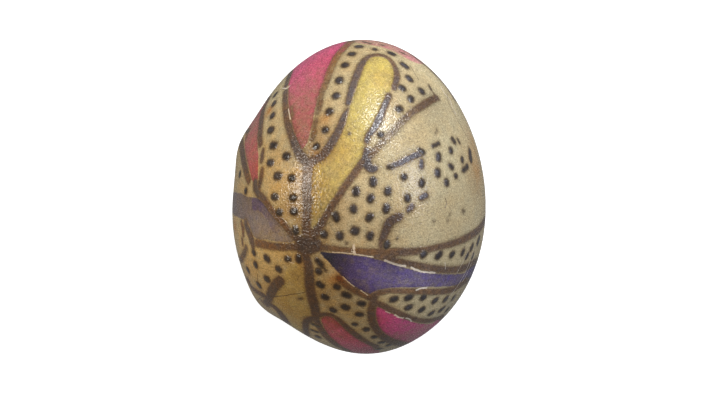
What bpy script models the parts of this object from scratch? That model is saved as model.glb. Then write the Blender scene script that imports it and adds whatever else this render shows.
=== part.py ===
"""A painted Easter egg: one whole hen's egg that lies on its side on a small flat spot.

The frame is in metres. +Y runs along the egg to its pointed end, +Z is up, and the origin is
the middle of the flat spot on the surface that the egg lies on.
"""

import math
from collections import namedtuple

import bmesh
import bpy
from mathutils import Vector

MM = 0.001

# Driving dimensions
LENGTH = 55.2 * MM
WIDTH = 44.4 * MM
TAPER = 0.08  # how much slimmer the shell is at its pointed end than at its middle
FLAT_DEPTH = 0.25 * MM  # how much of the lowest side the flat spot takes off

# A swell stands out from the even egg, and a hollow sinks in. Each one has its middle on the
# shell: `along` is measured from mid-length to the pointed end, and `around` in degrees from
# the top of the lying egg to its +X side. `spread` is how far it fades out.
Swell = namedtuple("Swell", "along around height spread")
SWELLS = (
    Swell(along=8.1 * MM, around=-90, height=0.85 * MM, spread=3.0 * MM),  # shoulder
    Swell(along=-20.0 * MM, around=-90, height=1.20 * MM, spread=3.8 * MM),  # heel
    Swell(along=-24.7 * MM, around=-90, height=-1.70 * MM, spread=6.5 * MM),  # hollow by the heel
    Swell(along=-26.9 * MM, around=90, height=0.30 * MM, spread=5.0 * MM),  # blunt end
)

MESH_LEVEL = 5  # an icosphere's subdivisions: facets about 2 mm wide

# Finish of the varnished shell
SHELL_COLOUR = (0.56, 0.45, 0.24, 1.0)
SHELL_ROUGHNESS = 0.38
SHELL_METALLIC = 0.0


def waist():
    """(share of the half-length, share of the half-width) where the tapered egg is widest."""
    share = -TAPER
    for _ in range(20):
        share = -TAPER * (1 - share * share) / (1 - TAPER * share)
    return share, math.sqrt(1 - share * share) * (1 - TAPER * share)


WAIST_SHARE, WAIST_SWELL = waist()
HALF_LENGTH = LENGTH / 2
HALF_WIDTH = WIDTH / 2 / WAIST_SWELL
CENTRE = Vector((0.0, -WAIST_SHARE * HALF_LENGTH, WIDTH / 2 - FLAT_DEPTH))


def even_egg(direction):
    """The point of the even egg, from its centre, that a direction of the unit sphere maps to."""
    girth = HALF_WIDTH * (1 - TAPER * direction.y)
    return Vector((direction.x * girth, direction.y * HALF_LENGTH, direction.z * girth))


def middle_of(swell):
    """The point of the even egg where a swell has its middle."""
    share = swell.along / HALF_LENGTH
    ring = math.sqrt(1 - share * share)
    turn = math.radians(swell.around)
    return even_egg(Vector((ring * math.sin(turn), share, ring * math.cos(turn))))


def shell_point(direction):
    """The point of the real, uneven egg, from its centre."""
    point = even_egg(direction)
    rise = 0.0
    for swell in SWELLS:
        gap = (point - middle_of(swell)).length / swell.spread
        rise += swell.height * math.exp(-gap * gap / 2)
    return point + point.normalized() * rise


def cut_flat_spot(mesh):
    """Cuts the mesh off level at the origin's height, and closes the cut with one flat face."""
    everything = mesh.verts[:] + mesh.edges[:] + mesh.faces[:]
    cut = bmesh.ops.bisect_plane(
        mesh, geom=everything, plane_co=(0, 0, 0), plane_no=(0, 0, -1), clear_outer=True
    )
    rim = [item for item in cut["geom_cut"] if isinstance(item, bmesh.types.BMEdge)]
    bmesh.ops.contextual_create(mesh, geom=rim)
    bmesh.ops.recalc_face_normals(mesh, faces=mesh.faces[:])


def make_egg():
    mesh = bmesh.new()
    bmesh.ops.create_icosphere(mesh, subdivisions=MESH_LEVEL, radius=1.0)
    for vertex in mesh.verts:
        vertex.co = CENTRE + shell_point(vertex.co.normalized())
    cut_flat_spot(mesh)
    data = bpy.data.meshes.new("egg")
    mesh.to_mesh(data)
    mesh.free()
    data.shade_smooth()
    data.set_sharp_from_angle(angle=math.radians(40))
    return bpy.data.objects.new("egg", data)


def painted_shell():
    material = bpy.data.materials.new("painted_shell")
    material.use_nodes = True
    surface = material.node_tree.nodes["Principled BSDF"]
    surface.inputs["Base Color"].default_value = SHELL_COLOUR
    surface.inputs["Roughness"].default_value = SHELL_ROUGHNESS
    surface.inputs["Metallic"].default_value = SHELL_METALLIC
    return material


def main():
    for old in list(bpy.data.objects):
        bpy.data.objects.remove(old)
    collection = bpy.data.collections.new("easter_egg")
    bpy.context.scene.collection.children.link(collection)
    egg = make_egg()
    egg.data.materials.append(painted_shell())
    collection.objects.link(egg)


main()
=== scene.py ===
"""A painted Easter egg: the finish of its shell, the drawing on it, and a plain studio.

The frame is the part's own, in metres: +Y runs along the egg to its pointed end and +Z is up.
The drawing was read from a photograph of the egg. Its points are pixels of that picture, which
is 720 wide and 405 high, and each one is laid on the shell along the line of sight.
"""

import math
from collections import namedtuple

import bmesh
import bpy
import numpy as np
from bpy.props import FloatProperty, FloatVectorProperty
from mathutils import Matrix, Vector
from mathutils.bvhtree import BVHTree


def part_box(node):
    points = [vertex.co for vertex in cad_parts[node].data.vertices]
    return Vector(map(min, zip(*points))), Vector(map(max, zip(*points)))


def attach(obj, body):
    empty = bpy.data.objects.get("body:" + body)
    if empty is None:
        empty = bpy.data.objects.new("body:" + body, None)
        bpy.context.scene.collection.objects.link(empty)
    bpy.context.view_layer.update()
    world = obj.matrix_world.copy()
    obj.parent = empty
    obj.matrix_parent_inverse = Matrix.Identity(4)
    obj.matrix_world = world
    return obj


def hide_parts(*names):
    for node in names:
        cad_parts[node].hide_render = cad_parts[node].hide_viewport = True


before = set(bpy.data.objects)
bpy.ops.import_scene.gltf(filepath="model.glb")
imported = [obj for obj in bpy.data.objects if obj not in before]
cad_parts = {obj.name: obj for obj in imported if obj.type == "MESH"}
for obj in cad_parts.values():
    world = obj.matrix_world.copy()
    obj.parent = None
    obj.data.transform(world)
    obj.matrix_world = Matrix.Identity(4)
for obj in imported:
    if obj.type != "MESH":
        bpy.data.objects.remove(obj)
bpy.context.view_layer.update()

bl_info = {
    "name": "Painted Easter Egg",
    "version": (1, 0, 0),
    "blender": (4, 5, 0),
    "location": "3D View > Sidebar > Easter Egg",
    "description": "Makes a hen's egg with a brush-drawn pattern, and a plain studio around it",
    "category": "Add Mesh",
}

MM = 0.001

# The egg's shape, as its solid has it

TAPER = 0.08  # how much slimmer the shell is at its pointed end than at its middle
WAIST_ROUNDS = 20  # of closing in on the place where the tapered egg is widest

# A swell stands out from the even egg, and a hollow sinks in. Each one has its middle on the
# shell: `along` is measured from mid-length to the pointed end, and `around` in degrees from
# the top of the lying egg to its +X side. `spread` is how far it fades out.
Swell = namedtuple("Swell", "along around height spread")
SWELLS = (
    Swell(along=8.1 * MM, around=-90, height=0.85 * MM, spread=3.0 * MM),  # shoulder
    Swell(along=-20.0 * MM, around=-90, height=1.20 * MM, spread=3.8 * MM),  # heel
    Swell(along=-24.7 * MM, around=-90, height=-1.70 * MM, spread=6.5 * MM),  # hollow by the heel
    Swell(along=-26.9 * MM, around=90, height=0.30 * MM, spread=5.0 * MM),  # blunt end
)
CELLS = 128  # quads along each edge of the cube that the shell's mesh starts as
SKIN_INSET = 0.004 * MM  # keeps the fine mesh inside the solid's box

# The photograph's view

PHOTO_WIDTH = 720
PHOTO_HEIGHT = 405
SENSOR = 36.0
LENS = 85.0
FOCAL_PIXELS = LENS / SENSOR * PHOTO_WIDTH
CAMERA_DISTANCE = 298.3 * MM  # from the middle of the egg
CAMERA_TILT = math.radians(8.0)  # from straight above towards the pointed end
CAMERA_ROLL = math.radians(2.57)
CAMERA_NEAR = 10.0 * MM  # nothing nearer is in the picture
AIM_RIGHT = 0.08 * MM  # where the camera aims, seen from the middle of the egg
AIM_UP = -0.89 * MM

# How the drawing is laid on the shell

BACK = "back"  # marks a point on the side away from the camera
STEP = 0.2 * MM  # between the samples of a curve
DOT_SAMPLES = 7
DOT_WANDER = 0.15 * MM  # how far the dots of a row stray from their places
DOT_STRETCH = 0.12 * MM  # and how far they are drawn out
DOT_SIZES = (0.85, 1.1)  # the smallest and the widest of them, as shares of the usual width
DOT_SEED = 7
PETAL_WIDTHS = (1.3, 1.2, 1.3, 1.45, 1.3)  # along the sides of the hidden petals, in millimetres
REACH = 2.0 * MM  # how far from a mark the shell still knows of it
UNTOUCHED = 9.0  # millimetres to the nearest mark, where there is none near
SLANT = (0.3, 0.5, 0.8)  # turns the flat maps; no dyed field faces exactly this way

# The drawing: lines

# Widths are in millimetres and are spread evenly over the stroke, like the tones. A tone is -1 for
# rust, 0 for brown and 1 for the bluish grey of thick paint, partly its colour and partly painted
# sheen. Wear is 0 for paint that is rubbed here and there, up to 1 for worn paint, and below 0 for
# whole paint.
Stroke = namedtuple("Stroke", "points width tone wear", defaults=((1.2,), (0.0,), (0.0,)))

UPPER_STROKES = (
    Stroke(  # left side of the first pink petal, at the rim
        ((290.5, 73), (288.6, 78), (287.2, 82), (285.6, 86.5)), width=(1.3, 1.3), tone=(0.5, 0.2)),
    Stroke(  # left side of the first pink petal
        ((285.6, 91.5), (285.3, 100), (285.6, 108), (286.3, 115), (287.6, 122), (290, 130),
         (292.5, 138), (295.5, 146), (299, 153), (303, 158.5), (307.5, 163)),
        width=(1.35, 1.35, 1.5, 1.65, 1.75), tone=(0.2, 0, 0.1, 0.5, 0.2)),
    Stroke(  # second, thin pass beside it
        ((291.5, 107), (292.3, 114), (290.6, 122)), width=(0.5, 0.6), tone=(-0.3,), wear=(0.35,)),
    Stroke(  # stem from the fork down to the knot
        ((309, 163), (307.5, 172), (307, 183), (307, 195), (307.3, 206), (306.5, 218), (306.3, 232)),
        width=(1.9, 1.7, 1.65, 1.55, 1.6), tone=(0.2, 0.1, 0.2, -0.1), wear=(0.1, 0.2, 0.1)),
    Stroke(  # right side of the fork
        ((309, 163), (314.5, 160), (321.5, 156.5), (326.5, 151), (330.5, 144.5), (334.5, 138),
         (338.3, 131), (341.3, 124), (343.6, 117), (346, 111.5), (347.2, 109.2)),
        width=(1.7, 1.5, 1.7, 1.7, 1.45, 1.3, 0.7), tone=(0.2, 0.5, 0.7, 0.7, 0.6)),
    Stroke(  # top of the yellow petal
        ((347.9, 103), (349.7, 96.5), (351.7, 90), (354, 82.5), (356.7, 75), (359.2, 69),
         (361.8, 64), (365.6, 59), (370, 56), (376, 54.8), (382, 55.3), (387.5, 57.6),
         (392, 62), (395, 67), (396.7, 73), (396.7, 79), (395.4, 84), (394.3, 88)),
        width=(1.15, 1.35, 1.45, 1.5, 1.4, 1.15, 0.95, 0.9, 0.95, 1.1, 1.25, 1.2),
        tone=(0.7, 0.6, 0.6, 0.5, 0, 0, 0.3, 0.6)),
    Stroke(  # right side of the yellow petal
        ((388.8, 95.8), (387.2, 100), (385, 105), (382.9, 110), (380.6, 115.5), (378, 121),
         (375, 127), (371, 132), (368, 136.5), (367, 141)),
        width=(1.35, 1.35, 1.4, 1.5, 1.3, 1.2), tone=(0.6, 1, 1, 1, 0.7)),
    Stroke(  # where the yellow petal's side meets the long line
        ((366.4, 150.3), (367, 155), (366.4, 160.5), (367.8, 165.5), (371, 168.8), (374.8, 168.4)),
        width=(1.3, 1.7, 1.8, 1.7, 1.4), tone=(0.9, 1, 1)),
    Stroke(  # long line from the knot up to the right
        ((314, 235), (319, 228), (324.5, 218.5), (330.5, 209), (336.5, 199.5), (342.5, 190),
         (349, 181), (355.5, 172), (361.5, 164), (368, 157), (374.5, 150.5)),
        width=(1.5, 1.3, 1.25, 1.25, 1.3, 1.4, 1.3), tone=(0.1, 0, 0, 0, 0.1, 0), wear=(0, 0, 0, 0, 0.3)),
    Stroke(
        ((374.5, 150.5), (380.5, 144.5), (387, 137.5), (393.5, 131), (399, 125), (404.8, 118.8),
         (411, 113.2), (418, 108.2), (425, 103.8), (431.5, 100), (436.8, 97.6)),
        width=(1.2, 1.15, 1.2, 1.25, 1.35, 1.4, 1.3),
        tone=(-0.1, 0.1, 0.1, 0.2, 0, -0.2, 0), wear=(0.35, 0.55, 0.5, 0.3, 0.1, 0, 0)),
    Stroke(((432, 91), (434.3, 94.3), (436.3, 96.6)), width=(0.3, 0.35, 0.6)),
    Stroke(  # along the rim
        ((378, 41.3), (391.9, 44.3), (402.2, 48.9), (415.6, 57.8), (425.6, 65.8), (434.5, 73.7),
         (443.4, 83.2), (449.7, 91.7), (454.1, 99)),
        width=(0.5, 0.6, 0.7, 0.8, 1.2, 0.9), tone=(0.3,)),
    Stroke(  # right side of the first pink petal
        ((351, 42), (345.5, 46.5), (339.5, 53), (334.5, 61), (330.5, 70), (327.3, 79), (324.3, 88)),
        width=(1.5, 1.4, 1.35, 1.3, 1.2), tone=(-0.6, -0.9, -0.9, -0.8, -0.5),
        wear=(0.25, 0.35, 0.35, 0.35, 0.4)),
    Stroke(((323.5, 88), (321, 95), (320, 99)), width=(1.1, 1.0), tone=(-0.3,), wear=(0.45, 0.4)),
    Stroke(
        ((320.7, 101), (319, 107), (317.6, 113)),
        width=(1.1, 1.1, 0.9), tone=(-0.3, 0), wear=(0, 0.35, 0.45)),
    Stroke(((316, 120.5), (314.5, 128)), width=(1.0, 0.9), tone=(-0.1,), wear=(0.5, 0.55)),
    Stroke(((314.3, 132.5), (312.2, 139)), width=(1.0, 0.8), tone=(-0.5,), wear=(0.4, 0.5)),
    Stroke(  # left side of the outer pink petal
        ((248.8, 180), (246.7, 173), (245, 166), (243.5, 159), (242.4, 152), (241.6, 146), (241.2, 141)),
        width=(1.5, 1.8, 1.9, 1.9, 1.8), tone=(-0.3, 0.2, 0.2, 0)),
    Stroke(((248.3, 131), (246.4, 138)), width=(0.7, 0.6), tone=(-0.5,), wear=(0.2,)),
    Stroke(  # right side of the outer pink petal
        ((268.5, 99.5), (264.6, 106), (262.3, 114), (261.3, 122), (260.5, 130), (260, 138), (260.4, 144)),
        width=(1.3, 1.5, 1.65, 1.6, 1.4), tone=(0.1, 0.1, 0.3, 0.2, 0)),
    Stroke(((263.3, 149.5), (262.3, 155), (261.7, 160.5)), width=(0.8, 1.1, 1.1), tone=(0.2,)),
    Stroke(
        ((262.3, 169.5), (261.5, 175), (260.3, 181), (258.8, 187)),
        width=(1.0, 1.15, 1.15, 1.1), tone=(0.1, 0.2)),
    Stroke(  # foot of the outer pink petal, and on to the knot
        ((255.3, 182.5), (255.3, 187), (257, 191.5), (260.8, 195.8), (264.8, 200), (267.9, 204.5),
         (271.4, 209.5), (275.4, 214.5), (279.4, 219.5), (284, 224.5), (288.2, 229.5),
         (292.6, 234.5), (297, 239)),
        width=(1.4, 1.6, 1.4, 1.25, 1.2, 1.15, 1.15, 1.15, 1.2), tone=(0.8, 0.8, 0, -0.1, -0.1, -0.1, 0)),
    Stroke(  # short slate bar in the plain field
        ((389.2, 166.7), (394, 165.3), (400, 162.8), (406, 159.7), (412, 156.8), (417, 154.6), (421.3, 153)),
        width=(1.0, 1.2, 1.3, 1.3, 1.3, 1.4, 1.3), tone=(0.9, 1, 1, 0.9)),
    Stroke(  # hooked stroke
        ((399.2, 217), (395, 218.6), (391, 221), (388, 225), (386, 230), (384.2, 235), (382.7, 240),
         (382, 245)),
        width=(1.5, 1.65, 1.65, 1.55, 1.4, 1.3), tone=(0.3, 0.4, 0.3, 0.1), wear=(-0.7,)),
    Stroke(((421.6, 161), (421.2, 166.3)), width=(1.1, 1.2), tone=(1,)),
    Stroke(((421.3, 198), (425.8, 195.3)), width=(1.2, 1.35), tone=(1,)),
    Stroke(((408, 211), (409.3, 208.8), (412, 206.6)), width=(0.9, 1.3, 1.25), tone=(0.65,)),
)

LOWER_STROKES = (
    Stroke(  # the knot
        ((301, 243.5), (309, 244.8), (316, 245)), width=(2.3, 3.1, 2.4), tone=(0.3, 0.45, 0.4)),
    Stroke(((299, 250), (306, 251), (313, 251)), width=(1.0, 1.6, 1.0), tone=(0.4,)),
    Stroke(((306.5, 228), (311, 235), (318, 234)), width=(1.4, 2.0, 1.0), tone=(-0.2, 0, 0), wear=(0.1,)),
    Stroke(((299, 239), (305, 240.5), (313, 240)), width=(1.2, 1.4, 1.4), tone=(0.2,)),
    Stroke(  # from the knot to the left
        ((300, 247), (288, 247), (279, 246.8), (270, 245.8), (262.5, 244.2), (257, 243)),
        width=(1.4, 1.3, 1.35, 1.35, 1.5, 1.5), tone=(0.3, 0.2, 0.1, 0, -0.1, -0.2)),
    Stroke(
        ((245.6, 222.5), (247.3, 228), (249.6, 234), (251.8, 240), (253.2, 247)),
        width=(1.5, 1.7, 1.8, 1.8, 1.2), tone=(0.6, 0.5, 0.3, 0.1)),
    Stroke(((241.6, 223), (243, 228.5), (243.3, 234.5)), width=(1.0, 1.2, 0.9), tone=(-0.4,)),
    Stroke(((242.2, 239), (242.8, 244)), width=(0.8,), tone=(-0.2,)),
    Stroke(
        ((246.3, 248), (244.5, 253), (242, 258.5)),
        width=(1.3, 1.2, 1.2), tone=(0.5, 0.2, -0.3), wear=(0.3, 0.3, 0.1)),
    Stroke(  # straight down from the knot
        ((303.8, 253), (307, 260), (308.8, 267), (309.3, 275), (309.8, 285), (311, 293),
         (313, 301), (314.8, 308), (316.2, 315)),
        width=(1.5, 1.8, 1.9, 1.85, 1.85, 1.85), tone=(0.4, 0.35, 0.3, 0.2, 0.3, 0.4)),
    Stroke(
        ((316, 318), (310.5, 319), (306.3, 321.5), (305.6, 327), (306.6, 333.5)),
        width=(1.4, 1.35, 1.4, 1.4), tone=(0.5, 0.6, 0.6)),
    Stroke(  # right side of the lower pink petal
        ((315.5, 317.5), (319.5, 315.3), (325, 314.2), (331, 314.8), (337, 318.2), (344, 324.6),
         (352.2, 331.8), (360.6, 338.2), (368.9, 343), (375.5, 346)),
        width=(1.4, 0.9, 0.8, 1.1, 1.25, 1.25, 1.2, 1.1, 1.0), tone=(0.5, 0.1, 0.1, 0, 0)),
    Stroke(  # left side of the lower pink petal
        ((315.5, 318.5), (318.2, 324), (321.8, 330.3), (327, 337), (333.2, 342.3), (340, 347), (347, 350.3)),
        width=(1.5, 1.5, 1.6, 1.5, 1.3), tone=(0.4, 0.2, 0, -0.1)),
    Stroke(  # fat stroke, lower left
        ((280.3, 280.5), (276.6, 284), (273.2, 288.5), (270.6, 294), (268.4, 299), (266, 304)),
        width=(1.9, 1.95, 1.9, 1.7, 1.6, 1.6), tone=(0.3, 0.5, 0.5, 0.4)),
    Stroke(
        ((248.6, 280), (250.3, 285.5), (254, 289.5), (259, 292.8), (264, 295.6), (268, 299)),
        width=(0.9, 1.3, 1.4, 1.3, 1.3), tone=(-0.1, 0, 0)),
    Stroke(
        ((269, 303.5), (274, 307), (278.5, 311), (282, 315.5), (285, 320)),
        width=(1.2, 1.8, 2.3, 2.2), tone=(0, 0.2, 0.3)),
    Stroke(((262.5, 302), (265.5, 305)), width=(1.2,), tone=(-0.5,), wear=(0.35,)),
    Stroke(  # from the knot to the right, as far as the break
        ((318, 247), (326, 247.8), (335, 248.8), (344, 249.8), (351.5, 250.6)),
        width=(1.6, 1.1, 0.95, 1.0, 1.05), tone=(0.1, -0.3, -0.5, -0.4), wear=(0, 0.15, 0.2, 0.15)),
    Stroke(  # and on past the break to the rim
        ((357, 251), (366, 251.8), (376, 252.4), (386, 252.6), (396, 252.2), (406, 251.9), (416, 251.2),
         (426, 249.8), (436, 247.6), (446, 245.2), (456, 242.2), (466, 238), (474, 233.3), (480, 228),
         (483.6, 222)),
        width=(1.15, 1.35, 1.6, 1.4, 1.2, 1.15, 1.25, 1.4, 1.5, 1.6, 1.6),
        tone=(-0.6, -0.2, 0, -0.2, -0.1, 0, 0.1, 0.1)),
    Stroke(  # upper edge of the violet petal
        ((376, 255.5), (385, 257.5), (394, 260), (402, 262), (410, 264), (420, 266), (430, 268),
         (440, 269.2), (450, 269.7), (460, 269), (468, 266.2), (473.5, 262)),
        width=(1.2, 1.1, 1.15, 1.3, 1.4, 1.35, 1.4, 1.5, 1.5), tone=(0, 0, 0.1, 0)),
    Stroke(  # lower edge of the violet petal
        ((373, 296), (379, 293), (386, 291.3), (394, 290.8), (404, 291), (414, 291.4), (424, 291.6),
         (434, 291.8), (444, 291.2), (452, 289.5), (459, 286), (465, 281)),
        width=(1.3, 1.0, 1.15, 1.25, 1.25, 1.3, 1.4, 1.4), tone=(0, -0.3, -0.3, -0.2, 0)),
    Stroke(  # left edge of the violet petal
        ((338.5, 277.8), (344, 283), (350.5, 288), (357.5, 292), (364.5, 295), (371.5, 298.3)),
        width=(0.9, 1.2, 1.2, 1.15, 1.3), tone=(-0.9, -0.4, -0.3, -0.1)),
    Stroke(  # left side of the magenta petal
        ((374, 298), (372.5, 305), (371.6, 312), (372.3, 320), (375.6, 328), (381.5, 335),
         (389, 340), (398, 343), (406, 344.3)),
        width=(1.5, 1.5, 1.45, 1.4, 1.6, 1.8, 1.7, 1.5), tone=(0.2, 0.1, 0.2, 0), wear=(0, 0, 0, 0.2, 0.3)),
    Stroke(  # top of the magenta petal
        ((376, 302.5), (383, 305.5), (390, 309), (397, 312.3), (404, 315.3), (411, 318), (418, 320),
         (426, 320.8), (434, 319.8), (440.5, 317)),
        width=(1.2, 1.2, 1.15, 1.1, 1.1, 1.2, 1.2), tone=(0.1, 0, -0.1, 0)),
)

# The drawing: dots. Each is x and y, of both its ends if it is drawn out. An odd last number is
# its own width in millimetres.

TOP_DOTS = (
    (358.2, 46.7, 359.8, 46.6, 1.4), (351.4, 54, 352.4, 54, 1.4), (345, 65, 1.55),
    (339.3, 79.8, 339.3, 80.8, 1.55), (336, 95.7, 1.5), (329.5, 111.6, 1.55), (325.3, 130, 1.4),
    (316.4, 146.2), (374.8, 49.4, 1.1), (390.3, 53.1, 392.8, 54.1), (402.8, 64.2, 406.2, 66.7),
    (408.4, 77.7, 410.1, 79.4), (401, 87.3, 403, 88.6), (410.8, 98.2, 410.9, 99.5),
    (421.2, 90.6, 422.1, 91.8), (399.2, 108.8, 1.5), (380.7, 134.6), (363.5, 42, 370.5, 43.7, 0.5),
    (381.5, 45.1, 384, 45.6, 0.4), (401.5, 52.7, 404, 53.8, 0.5), (429, 85.5, 431, 89.5, 0.45),
)
LEFT_DOTS = (
    (275.4, 94.6), (274, 103.6, 1.4), (272.6, 115.6, 1.5), (269.9, 129.9, 271.7, 129.9, 1.4),
    (272.3, 145.3, 274.5, 145.3, 1.5), (285.6, 156, 287.2, 156.2, 1.45), (269.4, 162.8, 271.4, 162.8, 1.35),
    (276.5, 176, 278.8, 176, 1.5), (290.9, 178, 292.5, 178, 1.4), (273.7, 196.7, 275.7, 196.7, 1.3),
    (292.2, 197.6, 294, 197.6, 1.3), (278.6, 212.4, 279.9, 212.6, 1.35), (293.2, 211.6, 294.6, 211.8),
    (295.6, 229.4, 295.6, 232), (240, 174), (245.8, 191),
)
MIDDLE_DOTS = (
    (373, 180, 373, 183.5), (355.9, 189.5, 355.9, 193), (388.2, 190.3, 387.4, 192.3),
    (370.5, 197.3, 370.3, 199.8), (404, 177), (407.3, 197.3, 407.5, 199), (353.4, 207.8, 353.4, 209.8),
    (386.5, 207.2, 385.8, 210), (370, 216, 368.7, 218.4), (335.3, 215, 336.5, 218.5), (355, 230.6, 1.65),
    (370.3, 234.8, 369.7, 237), (324, 234.3, 1.45), (339.8, 235, 339.8, 236.7), (386.4, 243.4, 386.6, 245.7),
    (421.9, 182.2, 421.7, 184), (388.6, 166.9, 391.5, 167.5, 0.85), (419.5, 150, 423, 152.3, 0.95),
)
RIGHT_DOTS = (
    (433.2, 146, 438.6, 143.5, 0.8), (452.6, 139.4, 454.6, 141.8, 1.0), (457.8, 139.5, 459.7, 143, 0.55),
    (450.8, 149.7, 450.9, 151, 1.15), (438.5, 155.3, 438.5, 158.7, 1.2), (462.2, 158.7, 462.2, 160.7, 1.0),
    (450.3, 165.6, 452, 167.3, 1.1), (463.3, 170, 467.3, 166.5, 1.0), (455.7, 175.8, 1.1),
    (437.8, 171.5, 437.8, 174.2, 1.35), (446.4, 181.3, 446.8, 183.8, 1.15), (422.6, 254.9, 424.4, 253.5),
    (437.6, 256.3, 440, 253.8), (451.4, 255, 452.8, 253.5, 1.15), (462.4, 252.9, 463.3, 250.8, 1.1),
    (471, 248.8, 472.3, 246, 1.1), (466.2, 257, 467.5, 254.7, 1.1), (472.2, 256.8, 472.9, 255.2, 1.0),
    (477.7, 242.5, 479, 238.5), (469.8, 151.5, 470.6, 159.5),
)
LOW_DOTS = (
    (266.2, 257.8, 268, 259.2, 1.35), (286.8, 259, 288.8, 259, 1.15), (298.8, 257.5, 298.8, 260),
    (254, 252.4), (255.7, 264.6, 1.5), (277.9, 268.7, 279.3, 269.4), (248, 270, 1.45),
    (266.3, 278.9, 267.8, 279.3, 1.4), (258.4, 284.8, 259.6, 285.6), (317.5, 260.5, 321.5, 265, 1.15),
    (322, 266, 326, 270.5, 0.5), (318.7, 271.1, 1.4), (318.8, 283.6, 321.4, 285.5, 1.2),
    (323.8, 296.4, 326, 297.3, 1.2), (336.3, 286.4, 337.7, 287, 1.15), (344.5, 294.2, 348.2, 295.5, 1.25),
    (344.4, 306.6, 346.4, 307.6), (332, 309.6, 333.8, 310.4, 1.15), (360.3, 303.1, 362.8, 303.6, 1.25),
    (358.2, 314, 360.8, 314.2, 1.1), (354, 324, 355.6, 324.2, 0.9), (366.4, 329.3), (374.3, 336.9, 1.25),
    (380.9, 342.4, 382.7, 342.2, 1.2), (389.3, 345), (379, 349), (312.5, 323.8, 318.5, 326.3, 0.75),
    (312, 330, 317, 331.8, 0.75), (317.8, 336.7), (392.3, 299.5, 395.2, 298.5),
    (407.7, 297.6, 410.1, 296.9, 1.45), (423.2, 297.4, 1.5), (434.2, 301.3, 435.8, 300.1),
    (445.2, 299.6, 446.1, 298.6), (453.5, 297.9), (407.7, 307.7, 409.6, 307.1), (421, 310, 422.6, 309),
    (430.7, 313.6, 432.3, 312.6, 1.2), (440.5, 310.2, 443, 308.6, 1.2), (447, 310),
)
SPECKS = (  # small flecks of the dots' paint
    (349, 134, 0.5), (397, 238.5, 0.35), (434, 221.5, 0.3), (448, 220.5, 0.3), (450, 214, 0.25),
    (462, 210.5, 464.5, 211, 0.3), (463.3, 209.8, 463.2, 212.5, 0.3), (299, 298.5, 302, 298.5, 0.4),
    (345.5, 243, 347.5, 243.2, 0.35), (436.5, 129.5, 436.7, 131, 0.22), (435.5, 132.8, 0.22),
)
DOTS = TOP_DOTS + LEFT_DOTS + MIDDLE_DOTS + RIGHT_DOTS + LOW_DOTS + SPECKS

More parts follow.
